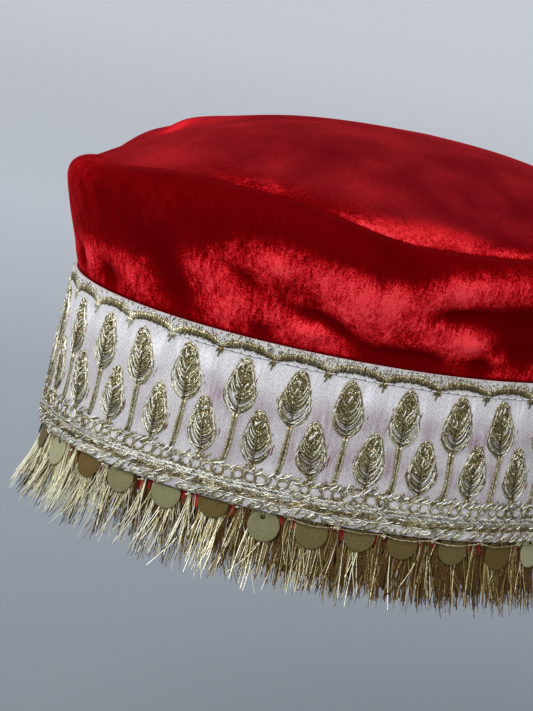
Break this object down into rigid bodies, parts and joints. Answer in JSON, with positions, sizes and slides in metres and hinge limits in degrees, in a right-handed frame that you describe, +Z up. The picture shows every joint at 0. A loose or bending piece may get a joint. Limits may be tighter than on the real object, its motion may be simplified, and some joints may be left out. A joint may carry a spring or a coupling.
{
  "type": "embroidered velvet cap",
  "caption": "Soft domed velvet cap with a puffed shoulder, a tall satin band embroidered with metallic leaves, and a thread fringe hung with flat sequins below the band.",
  "frame": {"origin": "middle of the head opening, level with the band's lower edge", "axes": "+Z up, +X to the front of the head, +Y to the wearer's left"},
  "size_m": [0.2163, 0.1861, 0.1554],
  "materials": {
    "velvet": "crushed velvet, laid pile",
    "satin": "woven satin",
    "thread": "metallic thread",
    "sequin": "metallised, satin"
  },
  "bodies": {
    "root": {"crown": "velvet", "band": "satin", "fringe": "thread", "sequin_01": "sequin", "sequin_02": "sequin", "sequin_03": "sequin", "sequin_04": "sequin", "sequin_05": "sequin", "sequin_06": "sequin", "sequin_07": "sequin", "sequin_08": "sequin", "sequin_09": "sequin", "sequin_10": "sequin", "sequin_11": "sequin", "sequin_12": "sequin", "sequin_13": "sequin", "sequin_14": "sequin", "sequin_15": "sequin", "sequin_16": "sequin", "sequin_17": "sequin", "sequin_18": "sequin", "sequin_19": "sequin", "sequin_20": "sequin", "sequin_21": "sequin", "sequin_22": "sequin", "sequin_23": "sequin", "sequin_24": "sequin", "sequin_25": "sequin", "sequin_26": "sequin", "sequin_27": "sequin", "sequin_28": "sequin", "sequin_29": "sequin", "sequin_30": "sequin", "sequin_31": "sequin", "sequin_32": "sequin"}
  },
  "joints": []
}
